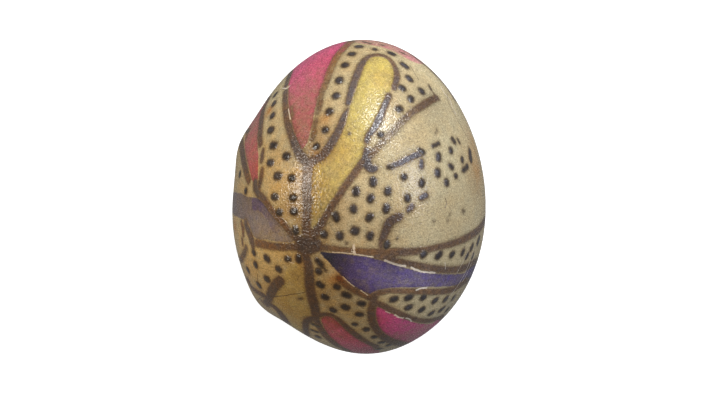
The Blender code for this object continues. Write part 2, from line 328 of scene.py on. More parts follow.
# The drawing: dyed fields. Each outline is a ring of points. The amounts of dye, up to 1, are
# spread evenly from `rich` to `weak`.
Field = namedtuple("Field", "dye outline rich weak amounts")
FIRST_TIP = (
    (290.5, 71.5), (300, 63), (310, 55.5), (320, 50), (331, 46), (344, 43), (341, 49), (335.5, 58),
    (330, 69), (326, 79), (322, 89),
)
LOW_PETAL = (
    (322, 317.8), (325, 316), (329, 315.9), (333, 317.8), (338, 322), (344.5, 328), (351.5, 333.8),
    (358.5, 338.6), (365.5, 342.8), (373, 346.5), (379, 351.5), (365, 353), (350, 352.5), (341, 348.5),
    (334, 342.5), (328.5, 336), (324.3, 328.5), (321.8, 322),
)
VIOLET_TIP = ((349, 282.7), (342, 276.3), (335, 269), (328, 261))
FIELDS = (
    Field(
        "rose",
        (*FIRST_TIP, (318.5, 98), (316, 106), (314, 114), (312.5, 123), (310, 132), (308, 140), (305, 146),
         (301, 149.5), (297.5, 145), (294.5, 138), (292.5, 130), (291, 120), (289, 110), (288, 100),
         (288, 90), (289, 80)),
        rich=(312, 56), weak=(303, 142), amounts=(1, 0.82)),
    Field(  # the fresher dye at its top
        "pink",
        (*FIRST_TIP, (317, 97), (308, 100), (299, 98), (290, 92), (289, 80)),
        rich=(315, 50), weak=(304, 97), amounts=(0.95, 0.7, 0)),
    Field(
        "rose",
        ((247, 131), (252, 121.5), (258, 112.5), (262, 107), (261.5, 114), (260, 122), (258.3, 130),
         (257.6, 138), (257.7, 147), (258.3, 156), (258.2, 165), (258, 173), (257.5, 180), (254.5, 183.5),
         (251.5, 178), (249.5, 170), (247.3, 162), (245.6, 153), (244.6, 146), (245, 138)),
        rich=(257, 172), weak=(250, 130), amounts=(1, 0.8)),
    Field("rose", LOW_PETAL, rich=(346, 338), weak=(360, 352), amounts=(0.95, 0.8)),
    Field("pink", LOW_PETAL, rich=(352, 345), weak=(326, 322), amounts=(0.5, 0.1)),
    Field(
        "magenta",
        ((377.5, 307), (384, 309.7), (391, 313), (398, 316.3), (405, 319.3), (413, 322), (421, 323.7),
         (430, 323.8), (438.5, 320.5), (431, 329.5), (421, 337), (409, 342), (399, 341.5), (390, 337.5),
         (382, 331), (377.5, 323), (375.7, 314)),
        rich=(392, 317), weak=(401, 339), amounts=(1, 0.9, 0.75)),
    Field(
        "yellow",
        ((350, 104), (352.7, 94), (355.5, 85), (358.5, 76), (362, 68), (366.3, 61.5), (371, 58),
         (377, 56.7), (383, 57.5), (388, 60.5), (392, 66), (393.7, 72), (393.7, 80), (392, 86.5),
         (390, 91), (386.5, 95), (383.5, 101), (381, 108), (377.5, 116), (374.5, 123), (370.5, 129),
         (366, 134), (364.5, 141), (364.5, 148), (363.5, 156), (359, 163), (352, 173), (345.5, 182.5),
         (339, 192.5), (332.5, 202), (326, 212), (320, 221.5), (315, 229.5), (311, 231), (311.5, 222),
         (311.5, 210), (311, 198), (311, 186), (311, 175), (313, 166), (319, 160), (326, 156.5),
         (331, 150.5), (336.5, 142.5), (341.5, 134), (345, 126), (347.5, 117), (349.5, 110)),
        rich=(372, 66), weak=(316, 215), amounts=(0.9, 0.6)),
    Field(
        "yellow",
        ((286, 271), (291, 264), (297, 262.5), (301.5, 266), (303.7, 275), (304.5, 286), (306, 296),
         (308.5, 305), (311, 314), (305, 317), (302.5, 322), (303, 331), (295, 327.5), (287, 322.5),
         (283.5, 315.5), (277, 308.5), (272, 303.5), (273.5, 296), (278.5, 289), (283, 281)),
        rich=(292, 283), weak=(298, 325), amounts=(0.42, 0.38)),
    Field(
        "violet",
        ((321, 252.7), (331, 253), (342, 253.7), (353, 255), (364, 256.5), (374, 258.3), (383, 260.6),
         (392, 264), (401, 266.5), (410, 269), (420, 271.8), (430, 273.3), (441, 274), (452, 274.2),
         (462, 273.5), (470, 270.5), (473.5, 267), (471, 274), (467, 281), (461, 284.5), (452, 286),
         (441, 286.8), (428, 287), (414, 287.3), (400, 287.5), (390, 288), (382, 290), (375, 293.3),
         (369, 294.6), (363, 292), (356, 288), *VIOLET_TIP),
        rich=(335, 262), weak=(400, 276), amounts=(1, 0.86)),
    Field(
        "ash",
        ((232.5, 194), (240, 193), (247, 196.5), (254, 197.5), (260, 199.5), (264.5, 204), (270, 211),
         (276.5, 219), (283, 226), (289, 232.5), (294.5, 238.5), (292, 242), (284, 242.3), (275, 241),
         (266, 239.5), (258, 239.5), (253.5, 236), (250.5, 229), (247.8, 222), (243, 219.5), (238, 217),
         (233, 212.5)),
        rich=(257, 206), weak=(280, 238), amounts=(0.95, 0.75)),
    Field(
        "pink",
        ((352, 41.5), (362, 43.5), (374, 45.5), (386, 48.5), (396, 52.5), (405, 57.5), (413, 61.5),
         (421, 64), (424, 63.5), (417, 57), (406, 50.5), (393, 44.5), (378, 40.6), (365, 39.2)),
        rich=(412, 58), weak=(360, 43), amounts=(0.5, 0.35)),
    Field(
        "violet",
        ((252.5, 198.5), (258.5, 198), (263, 203), (268, 210), (274, 218), (280, 227), (278, 233),
         (272.5, 232), (269, 224), (264, 215.5), (258.5, 210.5), (252.5, 209.5)),
        rich=(256.5, 203.5), weak=(276, 230), amounts=(0.65, 0.2)),
    Field(
        "navy",
        ((320, 252.3), (331, 252.8), (343, 253.7), (356, 255.4), (370, 257.4), (380, 262), (384, 270),
         (378, 279), (366, 288), (357, 288.5), *VIOLET_TIP),
        rich=(330, 258), weak=(364, 270), amounts=(0.95, 0.55, 0.12, 0)),
)

# The drawing: the side away from the camera, which the photograph doesn't show. The petals run on
# over the rim to a second knot. A petal's root is on the near side, where its two dyed parts join.


def on_back(*points):
    return tuple((x, y, BACK) for x, y in points)


Petal = namedtuple("Petal", "dye amounts left right root tone", defaults=((0.1, -0.2, 0.3, 0),))
BACK_PETALS = (
    Petal(
        "rose", (0.95, 0.8),
        left=((290.5, 73), *on_back((296, 75), (304, 86), (316, 109), (329, 137), (340, 161), (347, 178))),
        right=((351, 42), *on_back((350, 50), (349, 62), (347, 85), (346, 115), (348, 145), (350, 170))),
        root=((341, 53), (318, 62), (298, 78))),
    Petal(
        "rose", (0.95, 0.85),
        left=((248.3, 131), *on_back((254, 138), (266, 152), (281, 168), (300, 183), (320, 193), (336, 198))),
        right=((268.5, 99.5),
               *on_back((274, 99), (282, 109), (294, 131), (308, 153), (323, 173), (337, 191))),
        root=((264, 109), (257, 122), (251, 134)), tone=(0.3, -0.3, 0.1)),
    Petal(
        "yellow", (0.5, 0.75),
        left=((306.6, 333.5),
              *on_back((309, 330), (313, 318), (319, 297), (328, 271), (338, 245), (346, 222))),
        right=((285, 320), *on_back((289, 319), (294, 310), (302, 290), (312, 265), (324, 242), (344, 212))),
        root=((287, 316), (294, 321), (302, 325)), tone=(0.4, 0, -0.3, 0.2)),
    Petal(
        "rose", (0.9, 0.8),
        left=((347, 350.3), *on_back((354, 346), (360, 335), (363, 316), (361, 290), (357, 258), (351, 215))),
        right=((375.5, 346),
               *on_back((382, 343), (388, 333), (390, 316), (386, 290), (376, 258), (356, 214))),
        root=((366, 343), (357, 342), (350, 344))),
    Petal(
        "magenta", (0.85, 0.95),
        left=((406, 344.3), *on_back((413, 340), (418, 330), (418, 313), (410, 289), (395, 261), (361, 214))),
        right=((440.5, 317),
               *on_back((445, 311), (447, 301), (441, 283), (426, 262), (405, 241), (367, 211))),
        root=((432, 324), (420, 333), (409, 339)), tone=(0, 0.2, -0.1)),
    Petal(
        "violet", (0.9, 1),
        left=((465, 281), *on_back((468, 274), (466, 264), (456, 252), (437, 239), (412, 226), (369, 208))),
        right=((473.5, 262),
               *on_back((476, 255), (476, 247), (467, 237), (448, 225), (420, 214), (369, 204))),
        root=((467, 268), (465, 274), (463, 278)), tone=(0, -0.2, 0.2)),
)
BACK_FIELDS = (
    Field(
        "ash",
        (*on_back((245, 199), (268, 205), (295, 207), (320, 205), (338, 203), (338, 205), (318, 211)),
         *on_back((295, 217), (270, 220), (248, 218)),
         (232.5, 213), (240, 212), (243, 204), (240, 196), (231.5, 194)),
        rich=(240, 204), weak=(330, 205, BACK), amounts=(0.95, 0.8)),
    Field(
        "yellow",
        on_back((357, 186), (366, 165), (378, 138), (390, 112), (402, 93), (414, 84), (425, 87), (429, 99),
                (424, 116), (413, 137), (398, 158), (382, 178), (366, 191)),
        rich=(418, 92, BACK), weak=(362, 186, BACK), amounts=(0.9, 0.7)),
    Field(  # the fresher dye of the first pink petal
        "pink",
        ((290.5, 73),
         *on_back((296, 75), (304, 86), (315, 107), (331, 112), (346, 107), (347, 85), (349, 62)),
         (351, 42), (341, 53), (318, 62), (298, 78)),
        rich=(318, 62), weak=(331, 106, BACK), amounts=(0.95, 0.5, 0)),
    Field(  # and of the lower one
        "pink",
        ((347, 350.3), *on_back((354, 346), (360, 335), (363, 316), (376, 306), (390, 316), (388, 333)),
         (382, 343, BACK), (375.5, 346), (366, 343), (357, 342), (350, 344)),
        rich=(357, 342), weak=(376, 312, BACK), amounts=(0.5, 0.3, 0)),
)
BACK_STROKES = (
    Stroke(on_back((344, 197), (352, 201), (361, 203)), width=(2.4, 3.2, 2.4), tone=(0.3,)),  # knot
    Stroke(on_back((351, 190), (353, 201), (352, 211)), width=(2.0, 2.8, 2.0), tone=(0.1, 0.4)),
    Stroke(
        on_back((246, 199), (268, 205), (295, 207), (320, 205), (340, 202)),
        width=(0.9, 1.3, 1.2, 1.3), tone=(-0.4, 0, 0.2), wear=(0.4, 0, 0.1)),
    Stroke(
        on_back((247, 218), (270, 220), (295, 217), (318, 211), (340, 204)),
        width=(1.0, 1.4, 1.3, 1.2), tone=(0, 0.3, 0.1)),
    Stroke(
        ((483.6, 222), *on_back((481, 214), (470, 207), (450, 202), (420, 198), (392, 196), (366, 199))),
        width=(1.6, 1.4, 1.2, 1.25), tone=(0.1, -0.2, 0.2)),
    Stroke(  # round the yellow petal
        on_back((355, 190), (364, 165), (376, 138), (388, 112), (400, 91), (414, 80), (428, 84), (433, 98),
                (428, 116), (416, 138), (401, 160), (385, 180), (366, 194), (355, 198)),
        width=(1.3, 1.2, 1.4, 1.2, 1.1, 1.3), tone=(0.1, 0.5, 0.8, 0.3, 0, 0.1), wear=(0, 0, 0.2, 0, 0.3, 0)),
    Stroke(((242, 258.5), *on_back((244.5, 262), (247.5, 268))), width=(1.2, 1.1), tone=(-0.2, 0.2)),
    Stroke(((248.6, 280), *on_back((249.5, 275), (247.5, 268))), width=(0.9, 1.1), tone=(0,)),
)

# Rows of dots: how many there are in a row, and the points that it runs through
BACK_DOT_ROWS = (
    (7, (366, 72), (361, 110), (356, 168)),
    (5, (388, 80), (379, 104), (370, 130)),
    (6, (372, 54), (390, 60), (410, 68), (430, 78)),
    (8, (282, 89), (301, 122), (331, 166)),
    (8, (241, 152), (262, 176), (315, 199)),
    (3, (238, 176), (246, 184), (258, 190)),
    (8, (237, 231), (280, 232), (328, 213)),
    (5, (258, 254), (290, 249), (317, 232)),
    (5, (261, 293), (278, 282), (299, 258)),
    (8, (323, 339), (331, 304), (344, 250)),
    (5, (342, 345), (348, 318), (349, 286)),
    (9, (402, 341), (402, 302), (374, 247)),
    (8, (453, 298), (447, 271), (399, 230)),
    (8, (481, 238), (459, 218), (410, 205)),
    (8, (483, 194), (445, 187), (392, 187)),
    (6, (480, 168), (443, 168), (408, 172)),
    (5, (472, 138), (446, 146), (423, 151)),
    (4, (457, 108), (446, 120), (436, 128)),
)

# Fine marks: the width of each in millimetres, and its points. Cracks are dark with dirt, and
# chips show the bare shell.
DARK = -1.0
PALE = 1.0
CRACKS = (
    (0.13, (273, 297), (279, 296.2), (286, 295.6), (292, 294.3), (298, 293.8), (303.5, 292.5)),
    (0.13, (257.5, 300.5), (260.5, 297.8), (263, 297)),
    (0.11, (447, 94), (448, 101), (452, 110), (457, 119), (461.5, 127), (466, 135), (470.5, 142)),
    (0.14, (470.5, 142), (474, 149), (477, 156)),
    (0.12, (411, 67), (414.5, 73), (418, 78.5)),
    (0.14, (445.7, 200), (446.5, 203), (445.6, 206.5)),
    (0.16, (257.5, 275), (257.7, 281)),
    (0.13, *on_back((300, 300), (312, 292), (322, 280), (336, 272), (350, 268))),
    (0.12, *on_back((462, 150), (455, 160), (450, 172), (441, 181))),
)
CHIPS = (
    (0.34, (386, 260.7), (391, 262.7), (397, 264.6), (404.5, 266)),
    (0.3, (412, 267.8), (418, 270.4), (424, 271.8), (434, 272.6)),
    (0.32, (417.5, 289.6), (421, 288.2), (425.5, 287.8)),
    (0.28, (395.5, 315.4), (398.5, 317.1), (402, 317.8)),
    (0.16, (386.8, 311.9), (389, 312.7)),
    (0.26, (407, 318.3), (409.5, 319), (411, 320.8)),
    (0.34, (353.7, 246.5), (354, 250), (354.8, 254)),
    (0.17, (334, 252.2), (344, 252.8), (354, 254), (363, 255.3), (371.5, 256.8)),
    (0.15, (344, 277.8), (348.5, 282), (353, 285.6)),
    (0.18, (362, 291.2), (366.5, 294.3)),
    (0.2, (288.6, 110), (289.4, 114), (290.2, 118)),
    (0.25, (283, 88.2), (286.5, 88.6), (289, 86.5)),
    (0.15, (290.5, 262.3), (292.6, 262.9)),
    (0.1, (445.2, 264), (445.4, 267.5)),
    (0.14, (473.5, 250), (470, 261), (465, 273), (458.5, 284.5), (450, 296)),
    (0.14, (476.5, 246), (474, 256), (469.5, 268), (463.5, 280)),
    (0.1, (467.5, 252), (463, 262), (458, 271)),
    (0.12, (458.5, 292), (452, 301), (444, 309)),
    (0.2, (441.5, 88), (445, 94), (449.5, 99), (452, 106), (455.5, 113)),
    (0.3, *on_back((410, 228), (420, 235), (432, 241))),
    (0.25, *on_back((330, 172), (318, 160), (309, 147))),
)

# What the years have left on the shell, and painted light, in soft round patches: x, y, the radius
# in millimetres, and the amount, with BACK where a patch is on the hidden side. Four films colour
# what is under them, and an amount of 1 is a film's full colour. The grey film is partly dirt and
# partly painted shade, darker low on the egg and by its right rim; the pale film is partly faded
# spots and partly painted highlight, at the top right rim and left of the stem. Where the grain is
# rough it glints, and its streaks also lighten and darken the colour as painted glints and shade.
# The milky sheen on the lines is a painted highlight.
STAINS_AND_PAINTED_LIGHT = {
    # Rough grain that glints, with streaks of painted glint and shade in its colour.
    "coarse_and_painted_glints": ((318, 203, 3.0, 1.1), (312, 165, 2.5, 0.8), (378, 118, 3.5, 0.5), (303, 135, 3.0, 0.4)),
    # A painted highlight: the milky sheen on the fork and stem.
    "painted_sheen": (
        (309, 163, 1.3, 0.06), (299, 156, 1.2, 0.05), (307, 178, 1.2, 0.36), (307, 190, 1.2, 0.10),
        (307, 203, 1.3, 0.08),
    ),
    "varnish": (
        (240, 165, 5.0, 0.20), (238, 225, 4.5, 0.25), (252, 184, 4.0, 0.45), (250, 255, 5.0, 0.28),
        (256, 280, 5.0, 0.40), (366, 326, 4.0, 0.45), (275, 138, 5.0, 0.45), (345, 152, 3.5, 0.30),
        (299, 190, 2.5, 0.75), (282, 208, 5.0, 0.45), (303, 196, 4.0, 0.40), (285, 262, 3.5, 0.40),
        (290, 305, 7.0, 0.70), (345, 215, 6.0, 0.15), (325, 270, 5.0, 0.35), (320, 62, 3.0, 0.15),
        (325, 122, 3.5, 0.30), (355, 60, 5.0, 0.30), (388, 98, 3.0, 0.15), (382, 222, 4.0, 0.20),
        (342, 300, 5.0, 0.35), (290, 150, 9.0, 0.35, BACK), (400, 150, 9.0, 0.25, BACK),
        (300, 270, 9.0, 0.50, BACK), (420, 260, 7.0, 0.30, BACK),
    ),
    # Partly dirt, partly painted shade: the broad patches low on the egg and by its right rim darken it where
    # the light falls off.
    "grime_and_shade": (
        (275, 142, 5.0, 0.25), (252, 184, 3.5, 0.35), (366, 328, 4.0, 0.60), (344, 298, 4.0, 0.42),
        (440, 118, 6.0, 0.18), (462, 190, 6.0, 0.18), (297.5, 273, 1.2, 0.40), (305.5, 245.5, 1.4, 1.00),
        (393, 220, 1.2, 0.40), (386, 231, 1.2, 0.40), (369, 160, 1.2, 0.50), (391, 267.5, 1.4, 0.60),
        (430, 104, 2.5, 0.40), (452, 254, 3.0, 0.20), (464, 277, 3.0, 0.25), (305, 128, 3.5, 0.25),
        (345, 152, 3.5, 0.15), (321, 190, 3.0, 0.25), (299, 192, 2.5, 0.35), (300, 156, 1.3, 0.35),
        (315, 148, 2.5, 0.45), (340, 92, 4.5, 0.25), (347, 58, 3.0, 0.35), (322, 226, 3.5, 0.60),
        (303, 200, 3.5, 0.35), (287, 210, 4.0, 0.25), (382, 226, 5.0, 0.35), (333, 282, 4.0, 0.20),
        (293, 304, 6.0, 0.55), (316, 300, 6.0, 0.35), (406, 338, 3.0, 0.50), (475, 182, 2.5, 0.25),
        (355, 205, 7.0, 0.50, BACK), (320, 100, 5.0, 0.35, BACK), (430, 210, 6.0, 0.30, BACK),
    ),
    # Partly faded spots, partly painted highlight: the patches at the top right rim and left of the stem
    # lighten it where the light is strongest.
    "fading_and_highlight": (
        (384, 279, 1.5, 0.80), (370, 275, 1.5, 0.80), (405, 278, 1.5, 0.80), (422, 281, 1.2, 0.90),
        (392, 287, 1.2, 0.90), (424, 70, 2.2, 1.00), (440, 88, 2.0, 0.70), (328, 322, 2.0, 1.00),
        (390, 318, 2.0, 0.40), (415, 84, 5.0, 0.20), (368, 72, 4.0, 0.25), (280, 108, 4.0, 0.20),
        (240, 240, 4.0, 0.45), (253, 167, 3.5, 0.90), (254, 232, 2.5, 0.80), (262, 255, 5.0, 0.60),
        (282, 184, 2.5, 0.75), (342, 338, 4.5, 1.00), (430, 312, 6.0, 0.80), (458, 150, 5.0, 0.35),
        (440, 130, 6.0, 0.40, BACK), (270, 210, 6.0, 0.40, BACK),
    ),
    "rust": (
        (269, 111, 0.9, 0.9), (325, 118, 0.7, 0.8), (337, 278, 0.9, 1.0), (235, 226, 0.9, 0.8),
        (477, 168, 2.5, 0.50), (472, 140, 1.6, 0.40), (300, 262, 0.9, 0.3), (316, 133, 1.0, 0.4),
        (316, 155, 1.3, 0.5), (341, 158, 2.0, 0.10), (386, 78, 1.6, 0.25), (300, 240, 1.2, 0.80, BACK),
        (405, 190, 1.0, 0.80, BACK),
    ),
}


# The shell's mesh

Egg = namedtuple("Egg", "half_length half_width centre")


def waist():
    """(share of the half-length, share of the half-width) where the tapered egg is widest."""
    share = -TAPER
    for _ in range(WAIST_ROUNDS):
        share = -TAPER * (1 - share * share) / (1 - TAPER * share)
    return share, math.sqrt(1 - share * share) * (1 - TAPER * share)


def egg_of_the_frame():
    """The even egg's sizes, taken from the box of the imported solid."""
    low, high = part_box("egg")
    waist_share, waist_swell = waist()
    half_length = high[1] / (1 - waist_share)
    half_width = (high[0] - low[0]) / 2
    centre = np.array((0.0, -waist_share * half_length, high[2] - half_width))
    return Egg(half_length - SKIN_INSET, half_width / waist_swell - SKIN_INSET, centre)


def even_egg(egg, directions):
    """The points of the even egg, from its centre, that directions of the unit sphere map to."""
    x, y, z = directions.T
    girth = egg.half_width * (1 - TAPER * y)
    return np.column_stack((x * girth, y * egg.half_length, z * girth))


def middle_of(egg, swell):
    """The point of the even egg where a swell has its middle."""
    share = swell.along / egg.half_length
    ring = math.sqrt(1 - share * share)
    turn = math.radians(swell.around)
    return even_egg(egg, np.array([(ring * math.sin(turn), share, ring * math.cos(turn))]))[0]


def shell_points(egg, directions):
    """The points of the real, uneven shell. It is cut off level at the origin's height."""
    points = even_egg(egg, directions)
    rise = np.zeros(len(points))
    for swell in SWELLS:
        gap = np.linalg.norm(points - middle_of(egg, swell), axis=1) / swell.spread
        rise += swell.height * np.exp(-gap * gap / 2)
    points = egg.centre + points + unit_rows(points) * rise[:, None]
    points[:, 2] = points[:, 2].clip(0, None)
    return points


def make_shell_mesh(egg):
    """A cube's faces, cut into small quads and blown up to the egg."""
    mesh = bmesh.new()
    bmesh.ops.create_cube(mesh, size=2.0)
    bmesh.ops.subdivide_edges(mesh, edges=mesh.edges[:], cuts=CELLS - 1, use_grid_fill=True)
    data = bpy.data.meshes.new("painted_egg")
    mesh.to_mesh(data)
    mesh.free()
    cube = read_vectors(data.vertices, "co")
    even = np.tan(cube * math.pi / 4)  # keeps the quads much the same size over each face
    data.vertices.foreach_set("co", shell_points(egg, unit_rows(even)).astype(np.float32).ravel())
    data.update()
    data.shade_smooth()
    return data


def read_vectors(things, name):
    values = np.empty(len(things) * 3, np.float32)
    things.foreach_get(name, values)
    return values.reshape(-1, 3).astype(np.float64)


def unit_rows(vectors):
    return vectors / np.linalg.norm(vectors, axis=1)[:, None]


# The photograph's camera


class PhotoView:
    """Where the photograph was taken from, and the line of sight through each of its pixels."""

    def __init__(self, egg):
        self.middle = Vector(egg.centre)
        sine, cosine = math.sin(CAMERA_TILT), math.cos(CAMERA_TILT)
        up = Vector((0, cosine, -sine))
        right = Vector((1, 0, 0))
        rolled_right = math.cos(CAMERA_ROLL) * right + math.sin(CAMERA_ROLL) * up
        rolled_up = math.cos(CAMERA_ROLL) * up - math.sin(CAMERA_ROLL) * right
        self.place = self.middle + CAMERA_DISTANCE * Vector((0, sine, cosine))
        aim = self.middle + AIM_RIGHT * rolled_right + AIM_UP * rolled_up
        self.back = (self.place - aim).normalized()
        self.right = (rolled_right - rolled_right.dot(self.back) * self.back).normalized()
        self.up = self.back.cross(self.right)

    def matrix(self):
        turn = Matrix((self.right, self.up, self.back)).transposed()
        return Matrix.Translation(self.place) @ turn.to_4x4()

    def ray(self, x, y):
        across = (x - PHOTO_WIDTH / 2) / FOCAL_PIXELS
        down = (y - PHOTO_HEIGHT / 2) / FOCAL_PIXELS
        return (self.right * across - self.up * down - self.back).normalized()


# Laying the drawing on the shell


def smooth_curve(points, closed=False):
    """Samples of a smooth curve through these points."""
    if closed:
        before, after = points[-1:], points[:2]
    else:
        before, after = 2 * points[:1] - points[1:2], 2 * points[-1:] - points[-2:-1]
    knots = np.concatenate((before, points, after))
    pieces = []
    for a, b, c, d in zip(knots, knots[1:], knots[2:], knots[3:]):
        count = max(2, math.ceil(np.linalg.norm(c - b) / STEP))
        t = (np.arange(count) / count)[:, None]
        bend = 2 * a - 5 * b + 4 * c - d
        twist = 3 * b - a - 3 * c + d
        pieces.append(b + ((c - a) * t + bend * t**2 + twist * t**3) / 2)
    if not closed:
        pieces.append(points[-1:])
    return np.concatenate(pieces)


def shares_along(samples):
    """How far along a curve each of its samples is, from 0 to 1."""
    steps = np.linalg.norm(np.diff(samples, axis=0), axis=1)
    run = np.concatenate(([0.0], np.cumsum(steps)))
    return run / run[-1]


def spread_over(values, shares):
    """The value at each share of a length, where the values are spaced evenly along it."""
    if len(values) == 1:
        return np.full(len(shares), values[0])
    return np.interp(shares, np.linspace(0, 1, len(values)), values)


class Canvas:
    """The points of the shell, with a number at each of them for every kind of mark."""

    def __init__(self, data, view):
        self.data = data
        self.view = view
        self.points = read_vectors(data.vertices, "co")
        self.normals = read_vectors(data.vertices, "normal")
        faces = [face.vertices[:] for face in data.polygons]
        self.tree = BVHTree.FromPolygons(self.points.tolist(), faces)
        self.layers = {}

    def place(self, spot):
        """The shell's point at a spot of the photograph, or on its rim where the ray passes by."""
        ray = self.view.ray(spot[0], spot[1])
        if BACK in spot:
            hit = self.tree.ray_cast(self.view.place + 2 * CAMERA_DISTANCE * ray, -ray)[0]
        else:
            hit = self.tree.ray_cast(self.view.place, ray)[0]
        if hit is None:
            closest = self.view.place + ray * (self.view.middle - self.view.place).dot(ray)
            hit = self.tree.find_nearest(closest)[0]
        return np.array(hit)

    def places(self, spots):
        return np.array([self.place(spot) for spot in spots])

    def layer(self, name, start=UNTOUCHED):
        if name not in self.layers:
            self.layers[name] = np.full(len(self.points), start)
        return self.layers[name]

    def near(self, samples):
        """The numbers of the shell's points that lie in a box round these samples."""
        low = samples.min(0) - REACH
        high = samples.max(0) + REACH
        return np.flatnonzero(((self.points > low) & (self.points < high)).all(1))

    def distances(self, rows, samples):
        """From each of these points of the shell to each sample, in millimetres."""
        apart = self.points[rows][:, None, :] - samples[None, :, :]
        return np.sqrt(np.einsum("ijk,ijk->ij", apart, apart)) / MM

    def draw_stroke(self, stroke, thicker):
        samples = smooth_curve(self.places(stroke.points))
        shares = shares_along(samples)
        rows = self.near(samples)
        gaps = self.distances(rows, samples) - (spread_over(stroke.width, shares) + thicker) / 2
        nearest = gaps.argmin(1)
        gap = gaps[np.arange(len(rows)), nearest]
        closer = gap < self.layer("line_gap")[rows]
        rows, nearest = rows[closer], nearest[closer]
        self.layer("line_gap")[rows] = gap[closer]
        self.layer("line_tone", 0.0)[rows] = spread_over(stroke.tone, shares)[nearest]
        self.layer("line_wear", 0.0)[rows] = spread_over(stroke.wear, shares)[nearest]

    def draw_dot(self, dot, width):
        """A dot is x and y, of both its ends if it is drawn out. An odd last number is its width."""
        spots, own_width = (dot[:-1], dot[-1]) if len(dot) % 2 else (dot, width)
        self.dab(*self.places((spots[:2], spots[-2:])), own_width)

    def dab(self, start, end, width):
        samples = start + np.linspace(0, 1, DOT_SAMPLES)[:, None] * (end - start)
        rows = self.near(samples)
        gap = self.distances(rows, samples).min(1) - width / 2
        self.layer("dot_gap")[rows] = np.minimum(self.layer("dot_gap")[rows], gap)

    def draw_row(self, points, count, width, chance):
        """Dots along a row, each one a little off its place and more or less drawn out."""
        samples = smooth_curve(self.places(points))
        shares = shares_along(samples)
        for share in np.linspace(0, 1, count):
            middle = samples[np.abs(shares - share).argmin()] + chance.normal(0, DOT_WANDER, 3)
            reach = chance.normal(0, DOT_STRETCH, 3)
            self.dab(middle - reach, middle + reach, width * chance.uniform(*DOT_SIZES))

    def draw_petal(self, petal, thicker):
        self.draw_stroke(Stroke(petal.left, PETAL_WIDTHS, petal.tone), thicker)
        self.draw_stroke(Stroke(petal.right, PETAL_WIDTHS[::-1], petal.tone[::-1]), thicker)
        outline = petal.left + petal.right[::-1] + petal.root
        self.lay_dye(Field(petal.dye, outline, petal.root[1], petal.left[-1], petal.amounts))

    def lay_dye(self, field):
        rim = smooth_curve(self.places(field.outline), closed=True)
        rows = self.near(rim)
        gap = self.distances(rows, rim).min(1)
        gap[self.inside(rows, rim)] *= -1
        start, end = self.places((field.rich, field.weak))
        run = (self.points[rows] - start) @ (end - start) / ((end - start) @ (end - start))
        amount = spread_over(field.amounts, run.clip(0, 1))
        closer = gap < self.layer(field.dye + "_gap")[rows]
        self.layer(field.dye + "_gap")[rows[closer]] = gap[closer]
        self.layer(field.dye + "_amount", 0.0)[rows[closer]] = amount[closer]

    def inside(self, rows, rim):
        """Which of these points lie inside a closed rim, on a flat map round the rim's middle."""
        middle = np.array(self.view.middle)
        out = unit_rows(rim.mean(0)[None] - middle)[0]
        east = unit_rows(np.cross(out, SLANT)[None])[0]
        north = np.cross(out, east)

        def on_map(points):
            ways = unit_rows(points - middle)
            shrink = 1 + (ways @ out).clip(-0.99, 1)
            return ways @ east / shrink, ways @ north / shrink

        x, y = on_map(self.points[rows])
        rim_x, rim_y = on_map(rim)
        within = np.zeros(len(rows), bool)
        for x0, y0, x1, y1 in zip(rim_x, rim_y, np.roll(rim_x, 1), np.roll(rim_y, 1)):
            if y0 != y1:
                within ^= ((y0 > y) != (y1 > y)) & (x < (x1 - x0) * (y - y0) / (y1 - y0) + x0)
        return within

    def scratch(self, points, width, tone):
        """A fine mark keeps the side that a point is on, so that it can be thinner than a quad."""
        samples = smooth_curve(self.places(points))
        rows = self.near(samples)
        apart = self.distances(rows, samples)
        nearest = apart.argmin(1)
        gap = apart[np.arange(len(rows)), nearest]
        along = unit_rows(np.gradient(samples, axis=0))[nearest]
        across = np.cross(along, self.normals[rows])
        side = np.einsum("ij,ij->i", self.points[rows] - samples[nearest], across) / MM
        closer = gap < self.layer("fine_gap")[rows]
        rows = rows[closer]
        self.layer("fine_gap")[rows] = gap[closer]
        self.layer("fine_side")[rows] = side[closer]
        self.layer("fine_width", 0.1)[rows] = width
        self.layer("fine_tone", 0.0)[rows] = tone

    # A soft round patch of one film. The films hold real stains and also painted shade, painted highlight and
    # painted sheen.
    def stain(self, film, x, y, radius, amount, side="near"):
        gap = np.linalg.norm(self.points - self.place((x, y, side)), axis=1) / (radius * MM)
        self.layer(film, 0.0)[:] += amount * np.exp(-gap * gap / 2)

    def keep(self):
        """Writes the layers to the mesh, where the shell's material reads them."""
        for name, values in self.layers.items():
            attribute = self.data.attributes.new(name, "FLOAT", "POINT")
            attribute.data.foreach_set("value", values.astype(np.float32))


def draw_on(data, view, paint):
    """Lays the whole drawing on the shell's mesh."""
    canvas = Canvas(data, view)
    dot_width, thicker = paint.dot_width / MM, paint.thicker / MM
    for petal in BACK_PETALS:
        canvas.draw_petal(petal, thicker)
    for field in FIELDS + BACK_FIELDS:
        canvas.lay_dye(field)
    for stroke in UPPER_STROKES + LOWER_STROKES + BACK_STROKES:
        canvas.draw_stroke(stroke, thicker)
    chance = np.random.default_rng(DOT_SEED)
    for count, *points in BACK_DOT_ROWS:
        canvas.draw_row(on_back(*points), count, dot_width, chance)
    for dot in DOTS:
        canvas.draw_dot(dot, dot_width)
    for marks, tone in ((CRACKS, DARK), (CHIPS, PALE)):
        for width, *points in marks:
            canvas.scratch(points, width, tone)
    for film, patches in STAINS_AND_PAINTED_LIGHT.items():
        for patch in patches:
            canvas.stain(film, *patch)
    canvas.keep()


# Shader formulas


